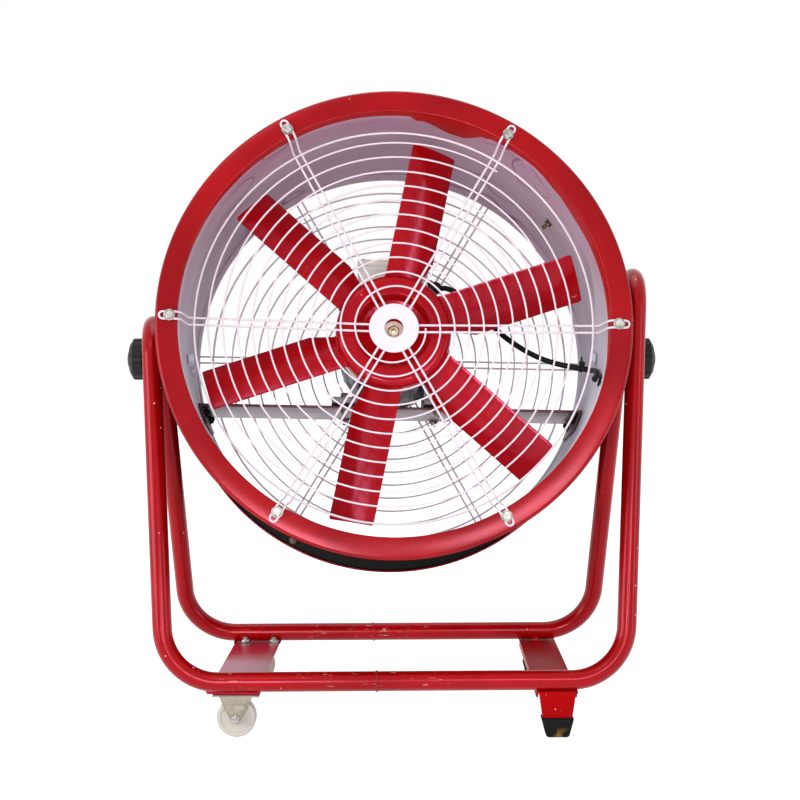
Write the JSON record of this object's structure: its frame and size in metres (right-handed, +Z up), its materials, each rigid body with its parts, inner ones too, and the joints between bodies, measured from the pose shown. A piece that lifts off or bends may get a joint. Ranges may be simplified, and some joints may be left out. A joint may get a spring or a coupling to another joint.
{
  "type": "portable drum fan",
  "caption": "Portable axial drum fan with spiral wire guards and a bladed impeller on a foot-mounted motor, tilting in a bent tube stand with casters and rubber feet.",
  "frame": {"origin": "on the floor, under the middle of the drum, at the centre of the object's box", "axes": "+Z up, -Y is the front that the picture shows, +X is to the right seen from the front"},
  "size_m": [0.7868, 0.478, 0.913],
  "materials": {
    "red_paint": "glossy red enamel with small chips and scuffs",
    "drum_paint": "bare galvanised sheet inside with red overspray, satin black enamel outside",
    "black_paint": "satin black enamel",
    "zinc_plate": "galvanised sheet, faintly spangled",
    "white_wire": "white powder-coated wire",
    "motor_grey": "grey enamel on a finned casting",
    "cream_paint": "cream enamel on a thin cast box",
    "black_plastic": "moulded black plastic",
    "rubber": "matt black rubber",
    "nylon": "cream moulded nylon, lightly marked",
    "bright_steel": "zinc-plated steel",
    "core_steel": "varnished laminations"
  },
  "bodies": {
    "stand": {"stand_tube_left": "red_paint", "stand_tube_right": "red_paint", "pivot_plate_left": "red_paint", "pivot_plate_right": "red_paint", "caster_plate": "red_paint", "caster_bracket_front": "zinc_plate", "caster_bracket_rear": "zinc_plate", "caster_axle_front": "bright_steel", "caster_axle_rear": "bright_steel", "foot_channel": "red_paint", "rubber_shoe_front": "rubber", "rubber_shoe_rear": "rubber"},
    "drum": {"drum_shell": "drum_paint", "rim_ring_front": "red_paint", "rim_ring_rear": "red_paint", "guard_frame_front": "white_wire", "guard_spiral_front": "white_wire", "guard_frame_rear": "white_wire", "guard_spiral_rear": "white_wire", "motor_plate": "zinc_plate", "motor_pad_left": "rubber", "motor_pad_right": "rubber", "motor_frame": "motor_grey", "motor_shield_front": "motor_grey", "motor_shield_rear": "motor_grey", "motor_stator": "core_steel", "bearing_front": "bright_steel", "bearing_rear": "bright_steel", "motor_bolt_1": "bright_steel", "motor_bolt_2": "bright_steel", "motor_bolt_3": "bright_steel", "motor_bolt_4": "bright_steel", "terminal_box": "cream_paint", "terminal_lid": "cream_paint", "cable_gland": "black_plastic", "power_cable": "rubber", "wall_grommet": "rubber", "trunnion_left": "black_paint", "trunnion_right": "black_paint", "pivot_bolt_left": "bright_steel", "pivot_bolt_right": "bright_steel", "pivot_washer_left": "nylon", "pivot_washer_right": "nylon"},
    "impeller": {"fan_hub": "red_paint", "fan_blade_1": "red_paint", "fan_blade_2": "red_paint", "fan_blade_3": "red_paint", "fan_blade_4": "red_paint", "fan_blade_5": "red_paint", "fan_blade_6": "red_paint", "fan_shaft": "bright_steel", "motor_rotor": "core_steel", "shaft_washer": "bright_steel", "shaft_bolt": "bright_steel"},
    "wheel_front": {"caster_wheel_front": "nylon"},
    "wheel_rear": {"caster_wheel_rear": "nylon"},
    "clamp_knob_left": {"knob_left": "black_plastic"},
    "clamp_knob_right": {"knob_right": "black_plastic"}
  },
  "joints": [
    {"name": "drum_tilt", "type": "hinge", "parent": "stand", "child": "drum", "pos_m": [0, -0.02652, 0.525], "axis": [1, 0, 0], "range_deg": [-20, 35]},
    {"name": "impeller_spin", "type": "hinge", "parent": "drum", "child": "impeller", "pos_m": [0, 0, 0.54808], "axis": [0, 0.977, -0.213], "continuous": true},
    {"name": "wheel_front_roll", "type": "hinge", "parent": "stand", "child": "wheel_front", "pos_m": [-0.22345, -0.19058, 0.0274], "axis": [0.0454, 0.999, 0], "continuous": true},
    {"name": "wheel_rear_roll", "type": "hinge", "parent": "stand", "child": "wheel_rear", "pos_m": [-0.21306, 0.13728, 0.0274], "axis": [0.0454, 0.999, 0], "continuous": true},
    {"name": "knob_left_turn", "type": "hinge", "parent": "drum", "child": "clamp_knob_left", "pos_m": [-0.378, -0.02652, 0.525], "axis": [-1, 0, 0], "range_deg": [0, 720]},
    {"name": "knob_right_turn", "type": "hinge", "parent": "drum", "child": "clamp_knob_right", "pos_m": [0.378, -0.02652, 0.525], "axis": [1, 0, 0], "range_deg": [0, 720]}
  ]
}
